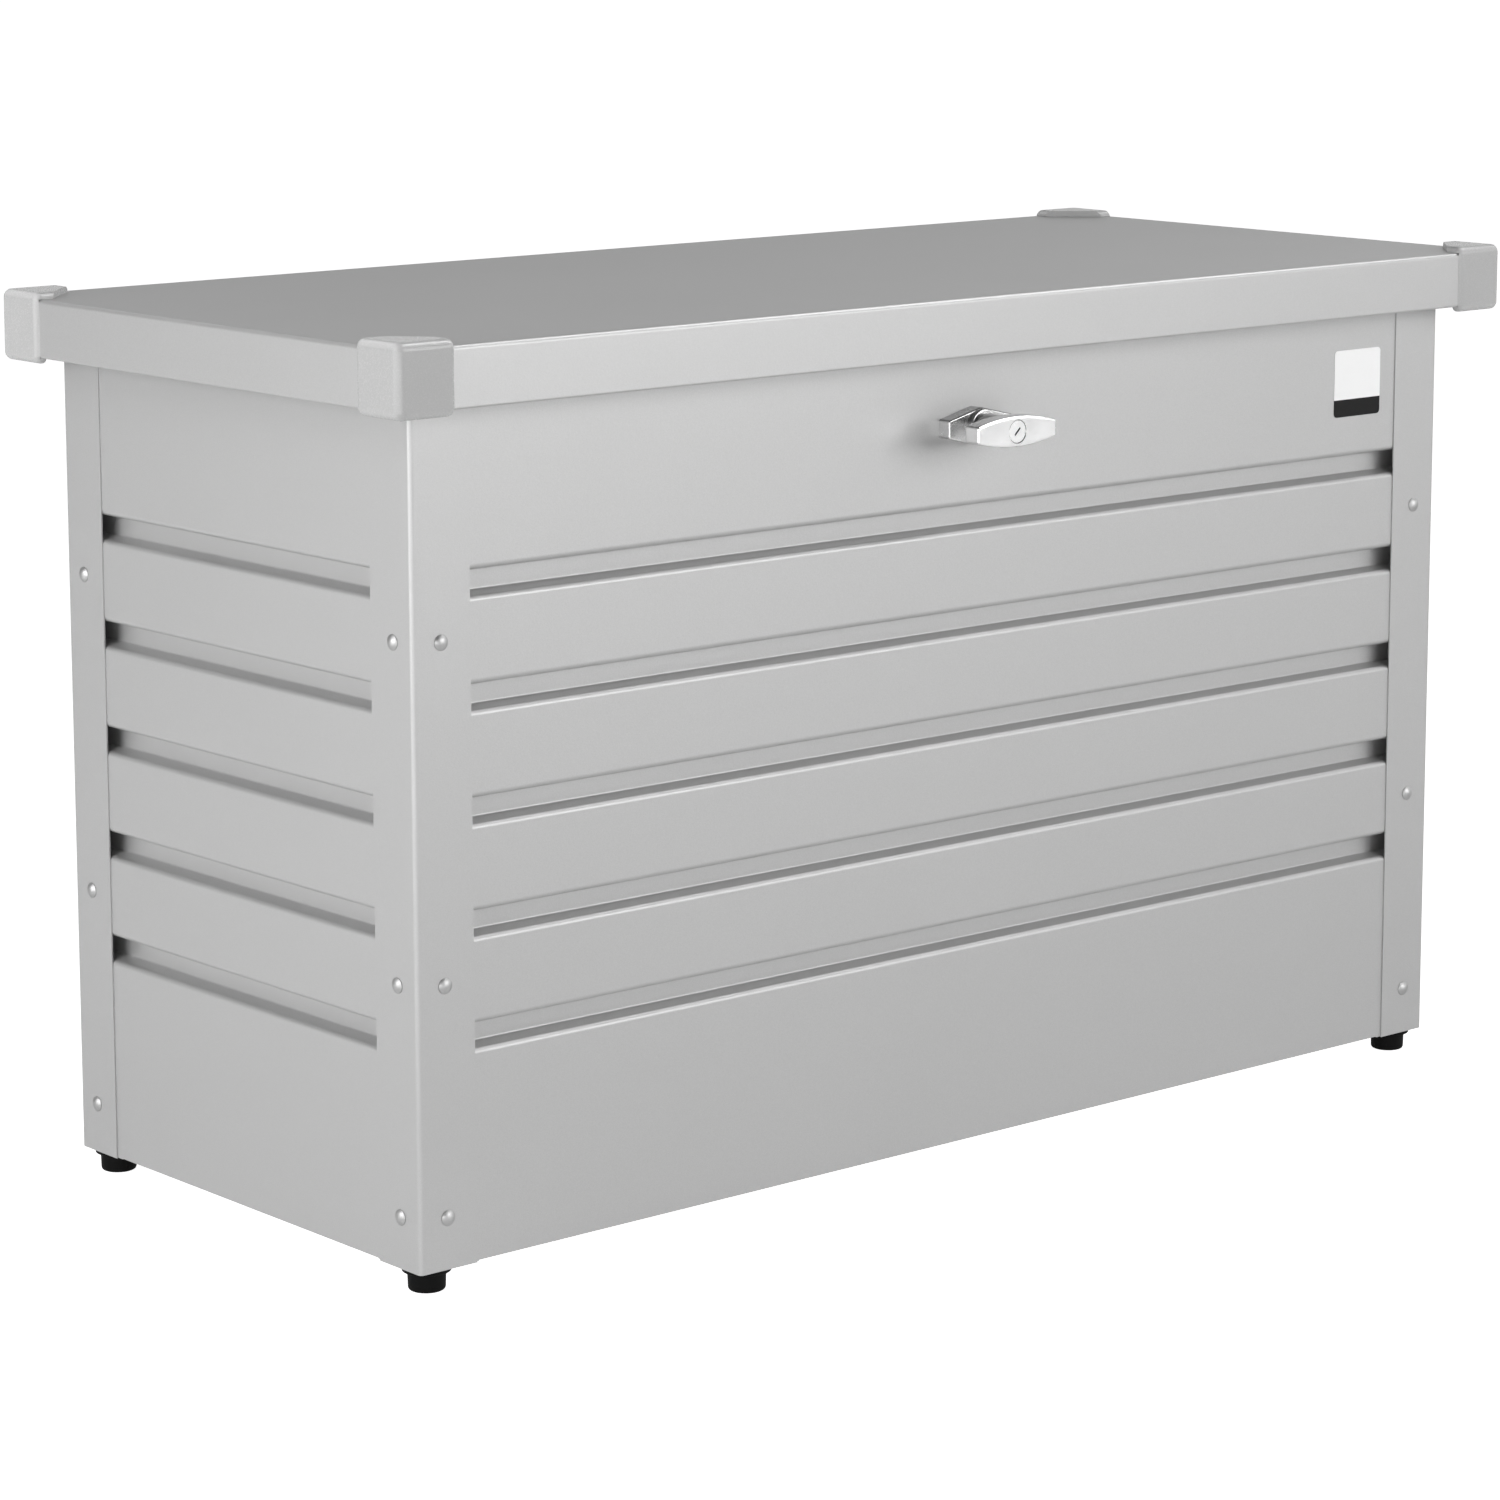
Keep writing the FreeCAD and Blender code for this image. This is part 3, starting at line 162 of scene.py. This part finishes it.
def paint(name, level):
    """Silver-grey powder coat: fine flake, soft orange peel and a very slightly uneven gloss."""
    n = Nodes(name)
    flake = 0.05
    flakes = n.spread(n.noise(2600.0, 1.0), 0.0, 1.0, start=0.35, end=0.65)
    colour = n.between(flakes, grey(level * (1 - flake)), grey(level * (1 + flake)))
    peel = n.bump(n.noise(700.0, 2.0), 0.12, 0.0004)
    fine = n.bump(flakes, 0.05, 0.0001, peel)
    rough = n.spread(n.noise(9.0, 3.0), 0.43, 0.445)
    return n.finish(Base_Color=colour, Metallic=0.55, Roughness=rough, Normal=fine)


def simple(name, colour, metallic, rough, noise_scale, bump, vary=0.06, gloss=0.5):
    """One colour, faintly mottled, with a fine uneven surface."""
    n = Nodes(name)
    mottle = n.spread(n.noise(noise_scale, 3.0), 0.0, 1.0)
    low = tuple(c * (1 - vary) for c in colour[:3]) + (1.0,)
    high = tuple(c * (1 + vary) for c in colour[:3]) + (1.0,)
    surface = n.bump(n.noise(noise_scale * 4, 2.0), bump, 0.0002)
    uneven = n.spread(mottle, rough - 0.05, rough + 0.05, start=0.0, end=1.0)
    return n.finish(Base_Color=n.between(mottle, low, high), Metallic=metallic, Specular_IOR_Level=gloss,
                    Roughness=uneven, Normal=surface)


def plated(name, front, side, top, rough):
    """A plated casting with painted light in its colour: a painted highlight on the front, duller sides and a
    darker painted shade on the top.
    """
    n = Nodes(name)
    facing = n.facing()
    # Painted light: up-facing surfaces get a darker painted shade, front-facing ones a bright painted
    # highlight.
    painted_top_shade = n.spread(facing["Z"], 0.0, 1.0, start=0.3, end=0.8)
    painted_front_highlight = n.spread(facing["Y"], 0.0, 1.0, start=-0.5, end=-0.9)
    colour = n.between(painted_front_highlight, n.between(painted_top_shade, grey(side), grey(top)), grey(front))
    marks = n.spread(n.noise(60.0, 4.0, 0.6), rough - 0.03, rough + 0.04)
    soft = n.bump(n.noise(220.0, 1.0), 0.03, 0.0001)
    return n.finish(Base_Color=colour, Metallic=1.0, Roughness=marks, Normal=soft)


def moulded(name, side, top, rough):
    """Matte plastic with the fine spark-eroded grain of its mould, and a painted highlight that makes its
    rounded top paler.
    """
    n = Nodes(name)
    grain = n.noise(1500.0, 2.0)
    # Painted highlight: the colour runs from the side level to the paler top level as the surface turns
    # upward.
    level = n.spread(n.facing()["Z"], side, top, start=0.1, end=0.8)
    mottle = n.spread(n.noise(14.0, 3.0), 0.985, 1.015)
    painted_light_and_mottle = n.add("Math", {0: level, 1: mottle}, operation="MULTIPLY").outputs[0]
    colour = n.add("CombineColor", {"Red": painted_light_and_mottle, "Green": painted_light_and_mottle, "Blue": painted_light_and_mottle}).outputs[0]
    return n.finish(Base_Color=colour, Roughness=n.spread(grain, rough - 0.04, rough + 0.04),
                    Normal=n.bump(grain, 0.10, 0.0001))


# Finishes by name: those of the material slots, and rosette_chrome for one node.
MATERIALS = {
    "grey_sheet": (paint, dict(level=0.5)),
    # cap_plastic's top level is a painted highlight on the caps' tops.
    "cap_plastic": (moulded, dict(side=0.46, top=0.74, rough=0.26)),
    "zinc_steel": (simple, dict(colour=grey(0.6), metallic=0.9, rough=0.4, noise_scale=120.0, bump=0.05)),
    "fastener_steel": (simple, dict(colour=grey(0.46), metallic=0.9, rough=0.45, noise_scale=300.0, bump=0.03,
                                    vary=0.03)),
    "foot_rubber": (simple, dict(colour=grey(0.003), metallic=0.0, rough=0.6, noise_scale=600.0, bump=0.2,
                                 gloss=0.1)),
    "seal_rubber": (simple, dict(colour=grey(0.02), metallic=0.0, rough=0.65, noise_scale=600.0, bump=0.2)),
    # In these plated finishes, front is a painted highlight level and top a painted shade level.
    "satin_chrome": (plated, dict(front=0.99, side=0.78, top=0.45, rough=0.22)),
    # A darker copy of the satin chrome: painted shade for the rosette behind the grip.
    "rosette_chrome": (plated, dict(front=0.70, side=0.62, top=0.30, rough=0.26)),
    "lock_steel": (plated, dict(front=0.93, side=0.5, top=0.4, rough=0.26)),
    "black_paint": (simple, dict(colour=grey(0.015), metallic=0.0, rough=0.35, noise_scale=500.0, bump=0.08)),
    "rod_chrome": (simple, dict(colour=grey(0.8), metallic=1.0, rough=0.12, noise_scale=400.0, bump=0.01,
                                vary=0.01)),
    "label_film": (simple, dict(colour=grey(0.95), metallic=0.0, rough=0.4, noise_scale=300.0, bump=0.03,
                                vary=0.005)),
}

# CAD nodes whose finish isn't the one named after their slot.
FINISHES = {"lock_rosette": "rosette_chrome"}


# ---------------------------------------------------------------- stage

FLOOR_HALF = 60.0
FLOOR_SHADE = 0.86
FLOOR_GLOW, FLOOR_WHITE = 0.3, 0.95

# Brightness of a wall by height: (sine of the elevation, level). The first two are the ends of the ramp.
LOW_WALL = [(0.0, 1.0), (0.35, 0.0)]
HIGH_WALL = [(0.0, 0.0), (0.8, 0.0), (0.35, 1.0)]

# Bright walls: azimuth in degrees clockwise from +Y, height profile, strength.
WALL_FALLOFF = 2.0
WORLD_LOBES = [
    (45, LOW_WALL, 0.82),
    (225, LOW_WALL, 0.66),
    (135, LOW_WALL, 1.5),
    (90, HIGH_WALL, 1.38),
    (0, HIGH_WALL, 0.52),
]

# Area lights: name, place, point aimed at, width, height, watts. The gloss lights show only in reflections,
# for the bright lines along the bends.
GLOSS_LIGHTS = [
    ("corner_strip", (-3.0, -3.1, 0.25), (0.0, 0.0, 0.25), 4.6, 0.8, 62.0),
    ("edge_panel", (1.6, -0.5, 2.8), (0.0, 0.0, 0.55), 1.3, 1.7, 42.0),
    ("left_edge_panel", (-0.3, 2.8, 2.9), (0.0, 0.0, 0.6), 1.6, 1.2, 9.0),
]
LIGHTS = [
    ("front_light", (1.2, -3.0, 1.3), (0.0, 0.0, 0.45), 2.4, 1.6, 45.0),
    ("left_light", (-3.0, 0.2, 0.9), (0.0, 0.0, 0.3), 2.0, 1.4, 39.6),
    ("left_high_light", (-1.6, 0.0, 1.6), (-0.4, 0.0, 0.4), 1.2, 0.8, 6.6),
    ("left_low_light", (-1.8, 0.6, 0.5), (-0.47, 0.0, 0.33), 1.0, 0.6, 2.0),
]


def make_floor():
    """A pale floor, seen as white by the camera and clear from below."""
    half = FLOOR_HALF
    corners = [(-half, -half, 0), (half, -half, 0), (half, half, 0), (-half, half, 0)]
    mesh = bpy.data.meshes.new("floor")
    mesh.from_pydata(corners, [], [(0, 1, 2, 3)])
    floor = bpy.data.objects.new("floor", mesh)
    bpy.context.scene.collection.objects.link(floor)
    n = Nodes("floor")
    direct = n.add("LightPath").outputs["Is Camera Ray"]
    glow = n.add("Mix", {"Factor": direct, "A": FLOOR_GLOW, "B": FLOOR_WHITE})
    n.finish(Base_Color=grey(FLOOR_SHADE), Roughness=1.0, Specular_IOR_Level=0.0, Emission_Color=grey(1.0),
             Emission_Strength=glow.outputs["Result"])
    below = n.add("NewGeometry").outputs["Backfacing"]
    clear = n.add("BsdfTransparent").outputs[0]
    seen = n.add("MixShader", {"Fac": below, 1: n.shader.outputs[0], 2: clear})
    feed(n.tree, n.tree.nodes["Material Output"].inputs["Surface"], seen.outputs[0])
    mesh.materials.append(n.material)


def lobe(tree, place, height, azimuth, profile, strength):
    """A soft bright region of the studio's walls, round one azimuth clockwise from +Y."""
    ramp = tree.nodes.new("ShaderNodeValToRGB")
    tree.links.new(height, ramp.inputs[0])
    ramp.color_ramp.interpolation = "EASE"
    elements = ramp.color_ramp.elements
    for element, (position, level) in zip(elements, profile[:2]):
        element.position = position
        element.color = grey(level)
    for position, level in profile[2:]:
        elements.new(position).color = grey(level)
    turn = math.radians(azimuth)
    facing = tree.nodes.new("ShaderNodeVectorMath")
    facing.operation = "DOT_PRODUCT"
    tree.links.new(place, facing.inputs[0])
    facing.inputs[1].default_value = (math.sin(turn), math.cos(turn), 0.0)
    value = chain(tree, "MAXIMUM", facing.outputs["Value"], 0.0)
    value = chain(tree, "POWER", value, WALL_FALLOFF)
    value = chain(tree, "MULTIPLY", value, ramp.outputs[0])
    return chain(tree, "MULTIPLY", value, strength)


def chain(tree, operation, first, second):
    """One math node on two values."""
    node = tree.nodes.new("ShaderNodeMath")
    node.operation = operation
    feed(tree, node.inputs[0], first)
    feed(tree, node.inputs[1], second)
    return node.outputs[0]


def make_world():
    """A white studio whose walls light the box unevenly and whose ceiling is dim."""
    world = bpy.data.worlds.new("studio")
    bpy.context.scene.world = world
    world.use_nodes = True
    tree = world.node_tree
    background = tree.nodes["Background"]
    place = tree.nodes.new("ShaderNodeTexCoord").outputs["Generated"]
    split = tree.nodes.new("ShaderNodeSeparateXYZ")
    tree.links.new(place, split.inputs[0])
    total = 0.0
    for azimuth, profile, strength in WORLD_LOBES:
        total = chain(tree, "ADD", lobe(tree, place, split.outputs["Z"], azimuth, profile, strength), total)
    direct = tree.nodes.new("ShaderNodeLightPath").outputs["Is Camera Ray"]
    tree.links.new(chain(tree, "MAXIMUM", total, direct), background.inputs["Strength"])
    background.inputs["Color"].default_value = grey(1.0)


def make_light(name, spot, aim, width, height, power):
    data = bpy.data.lights.new(name, "AREA")
    data.shape = "RECTANGLE"
    data.size = width
    data.size_y = height
    data.energy = power
    light = bpy.data.objects.new(name, data)
    bpy.context.scene.collection.objects.link(light)
    towards = Vector(aim) - Vector(spot)
    light.matrix_world = Matrix.Translation(spot) @ towards.to_track_quat("-Z", "Y").to_matrix().to_4x4()
    return light


# ---------------------------------------------------------------- mesh helpers

MM = 0.001
TURN_STEPS = 40
SHARP_ANGLE = math.radians(35)
WELD = 1e-6


def rounded(corners, steps=5):
    """Points along corners given as (x, y, radius), each rounded by its radius where that isn't 0."""
    points = []
    for index, (x, y, radius) in enumerate(corners):
        here = Vector((x, y))
        if radius == 0:
            points.append(here)
            continue
        before = (Vector(corners[index - 1][:2]) - here).normalized()
        after = (Vector(corners[(index + 1) % len(corners)][:2]) - here).normalized()
        half = before.angle(after) / 2
        inward = (before + after).normalized()
        side = Vector((-inward.y, inward.x))
        side *= math.copysign(1.0, side.dot(before))
        centre = here + inward * (radius / math.sin(half))
        for step in range(steps + 1):
            angle = (math.pi / 2 - half) * (1 - 2 * step / steps)
            points.append(centre + (side * math.sin(angle) - inward * math.cos(angle)) * radius)
    return points


def skin(mesh, rings):
    """A closed skin over rings of points. A ring of one point closes an end to a tip."""
    rows = [[mesh.verts.new(point) for point in ring] for ring in rings]
    for row, following in zip(rows, rows[1:]):
        count = max(len(row), len(following))
        for index in range(count):
            step = (index + 1) % count
            corners = [row[index % len(row)], row[step % len(row)]]
            corners += [following[step % len(following)], following[index % len(following)]]
            mesh.faces.new(list(dict.fromkeys(corners)))
    for row in (rows[0], rows[-1]):
        if len(row) > 2:
            mesh.faces.new(row)


def turned(mesh, profile, spot, axis):
    """A lathe shape: profile is (radius, distance) along the axis from the spot, in millimetres."""
    frame_of_axis = axis.to_track_quat("Z", "Y").to_matrix()
    rings = []
    for radius, distance in profile:
        angles = [2 * math.pi * step / TURN_STEPS for step in range(TURN_STEPS if radius > 0 else 1)]
        ring = [Vector((radius * math.cos(a), radius * math.sin(a), distance)) * MM for a in angles]
        rings.append([spot + frame_of_axis @ point for point in ring])
    skin(mesh, rings)


def make_piece(name, mesh, body, slot, finish=None, replaced=None):
    """An object from the built mesh, with smooth shading that keeps real edges."""
    bmesh.ops.recalc_face_normals(mesh, faces=mesh.faces)
    data = bpy.data.meshes.new(name)
    mesh.to_mesh(data)
    mesh.free()
    data.shade_smooth()
    data.set_sharp_from_angle(angle=SHARP_ANGLE)
    data.materials.append(finish or materials[slot])
    item = bpy.data.objects.new(name, data)
    bpy.context.scene.collection.objects.link(item)
    item.modifiers.new("even_normals", "WEIGHTED_NORMAL").keep_sharp = True
    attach(item, body)
    if replaced:
        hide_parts(replaced)


def solids_of(node):
    """The lowest and highest corner of each separate solid in a CAD node."""
    mesh = bmesh.new()
    mesh.from_mesh(frame["nodes"][node].data)
    bmesh.ops.remove_doubles(mesh, verts=mesh.verts, dist=WELD)
    waiting = set(mesh.verts)
    boxes = []
    while waiting:
        solid = set()
        edge = [waiting.pop()]
        while edge:
            vertex = edge.pop()
            solid.add(vertex)
            near = {link.other_vert(vertex) for link in vertex.link_edges} & waiting
            waiting -= near
            edge += near
        places = [vertex.co for vertex in solid]
        low = Vector([min(place[axis] for place in places) for axis in range(3)])
        high = Vector([max(place[axis] for place in places) for axis in range(3)])
        boxes.append((low, high))
    mesh.free()
    return sorted(boxes, key=lambda box: tuple(box[0]))


# ---------------------------------------------------------------- pieces

# Radii and lengths in millimetres. HEAD_RIM is the upright rim's share of a head's height.
SCREW_HEAD, SCREW_RISE, SCREW_SHANK, SCREW_CHAMFER = 5.2, 2.4, 2.5, 0.6
RIVET_HEAD, RIVET_RISE, RIVET_SHANK = 4.0, 1.6, 2.0
RIVET_TAIL, RIVET_TAIL_LENGTH, RIVET_CHAMFER = 3.2, 1.0, 0.3
HEAD_RIM = 0.2


def dome(radius, rise, steps=7):
    """Profile of a domed head: from its tip down an arc to a short upright rim."""
    tall = rise - rise * HEAD_RIM
    ball = (radius ** 2 + tall ** 2) / (2 * tall)
    reach = math.asin(radius / ball)
    profile = [(0.0, rise)]
    for step in range(1, steps + 1):
        angle = reach * step / steps
        profile.append((ball * math.sin(angle), rise - ball * (1 - math.cos(angle))))
    return profile + [(radius, 0.0)]


def heads(name, node, body, slot, radius, rise, rest):
    """Domed heads in place of each solid of a fastener node, facing away from the box."""
    middle = (cad_low + cad_high) / 2
    mesh = bmesh.new()
    for low, high in solids_of(node):
        size = high - low
        along = min(range(3), key=lambda axis: size[axis])
        spot = (low + high) / 2
        outward = 1 if spot[along] > middle[along] else -1
        axis = Vector([outward if index == along else 0 for index in range(3)])
        spot[along] = (high if outward > 0 else low)[along] - outward * rise * MM
        turned(mesh, dome(radius, rise) + rest(size[along] / MM - rise), spot, axis)
    make_piece(name, mesh, body, slot, replaced=node)


def screw_shank(length):
    """Profile of a plain shank down to its chamfered tip."""
    tip = SCREW_SHANK - SCREW_CHAMFER
    return [(SCREW_SHANK, 0.0), (SCREW_SHANK, -length + SCREW_CHAMFER), (tip, -length), (0.0, -length)]


def rivet_shank(length):
    """Profile of a shank down to its set tail, which is wider."""
    tail_top = RIVET_TAIL_LENGTH - length
    return [(RIVET_SHANK, 0.0), (RIVET_SHANK, tail_top), (RIVET_TAIL, tail_top),
            (RIVET_TAIL, RIVET_CHAMFER - length), (RIVET_TAIL - RIVET_CHAMFER, -length), (0.0, -length)]


# Sizes of the feet and their studs in millimetres.
COLLAR_THICK, COLLAR_LEDGE = 3.5, 3.5
TREAD_HOLLOW, TREAD_INNER, TREAD_OUTER = 0.8, 4.0, 4.8
STUD_RADIUS, STUD_TIP = 4.0, 0.9
THREAD_DEPTH, THREAD_RISE, THREAD_PITCH, THREAD_END = 0.35, 0.45, 1.25, 1.5


def foot(corner):
    """A rubber foot with a rounded tread and a soft collar, on its threaded steel stud."""
    node = "foot_" + corner
    low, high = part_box(node)
    spot = Vector(((low.x + high.x) / 2, (low.y + high.y) / 2, low.z))
    collar = (high.x - low.x) / 2 / MM
    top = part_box("corner_post_" + corner)[0].z / MM
    pad = collar - COLLAR_LEDGE
    under = top - COLLAR_THICK
    # Corners of the foot's half section: radius, height and how far the corner is rounded.
    section = [(0, TREAD_HOLLOW, 0), (TREAD_INNER, TREAD_HOLLOW, 0.3), (TREAD_OUTER, 0, 0.3),
               (pad - 0.4, 0, 2.2), (pad, under, 1.2), (collar, under, 1.0),
               (collar, under + COLLAR_THICK, 0.8), (0, under + COLLAR_THICK, 0)]
    mesh = bmesh.new()
    turned(mesh, [tuple(point) for point in rounded(section)], spot, Vector((0, 0, 1)))
    make_piece("foot_pad_" + corner, mesh, "box", "foot_rubber", replaced=node)
    end = high.z / MM
    root = STUD_RADIUS - THREAD_DEPTH
    threads = [(0.0, top)]
    level = top
    while level < end - THREAD_END:
        threads += [(root, level), (STUD_RADIUS, level + THREAD_RISE), (root, level + 2 * THREAD_RISE)]
        level += THREAD_PITCH
    threads += [(STUD_RADIUS - STUD_TIP, end), (0.0, end)]
    mesh = bmesh.new()
    turned(mesh, threads, spot, Vector((0, 0, 1)))
    make_piece("foot_stud_" + corner, mesh, "box", "fastener_steel")


# The band's share of the sticker's height, and the corners' radius and edges' bevel in millimetres.
LABEL_BAND, LABEL_CORNER, LABEL_EDGE = 0.26, 3.0, 0.12


def label():
    """A plain white sticker with a dark band along its foot, in two pieces that meet at the band's edge."""
    low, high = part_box("label")
    ink = simple("label_ink", grey(0.010), metallic=0.0, rough=0.55, noise_scale=300.0, bump=0.03, gloss=0.15)
    level = low.z + (high.z - low.z) * LABEL_BAND
    parts = {"label_band": ("foot", low.z, level, ink), "label_white": ("head", level, high.z, None)}
    for name, (end, bottom, top, finish) in parts.items():
        lower, upper = (LABEL_CORNER, 0) if end == "foot" else (0, LABEL_CORNER)
        replaced = "label" if end == "head" else None
        mesh = bmesh.new()
        rings = []
        for depth, inset in ((0.0, 0.0), (1.0, 0.0), (1.0, LABEL_EDGE)):
            left, right = low.x / MM + inset, high.x / MM - inset
            floor_gap, head_gap = (inset, 0) if end == "foot" else (0, inset)
            corners = [(left, bottom / MM + floor_gap, lower), (right, bottom / MM + floor_gap, lower),
                       (right, top / MM - head_gap, upper), (left, top / MM - head_gap, upper)]
            y = high.y + (low.y - high.y) * depth
            rings.append([Vector((x * MM, y, z * MM)) for x, z in rounded(corners)])
        skin(mesh, rings)
        make_piece(name, mesh, "box", "label_film", finish, replaced)


def make_pieces():
    steel = "fastener_steel"
    heads("screw_heads", "post_screws", "box", steel, SCREW_HEAD, SCREW_RISE, screw_shank)
    heads("wall_rivet_heads", "hinge_wall_rivets", "box", steel, RIVET_HEAD, RIVET_RISE, rivet_shank)
    heads("lid_rivet_heads", "hinge_lid_rivets", "lid", steel, RIVET_HEAD, RIVET_RISE, rivet_shank)
    for end in ("front", "rear"):
        for side in ("left", "right"):
            foot("%s_%s" % (end, side))
    label()


# ---------------------------------------------------------------- assembly

bpy.context.scene.view_settings.view_transform = "Standard"
make_camera()
make_floor()
make_world()
for light in LIGHTS:
    make_light(*light)
for light in GLOSS_LIGHTS:
    make_light(*light).visible_diffuse = False
materials = {name: make(name, **settings) for name, (make, settings) in MATERIALS.items()}
slot_of = {entry["node"]: entry["material_slot"] for entry in frame["record"]["subparts"]}
for name, item in frame["nodes"].items():
    item.data.materials.clear()
    item.data.materials.append(materials[FINISHES.get(name, slot_of[name])])
make_pieces()
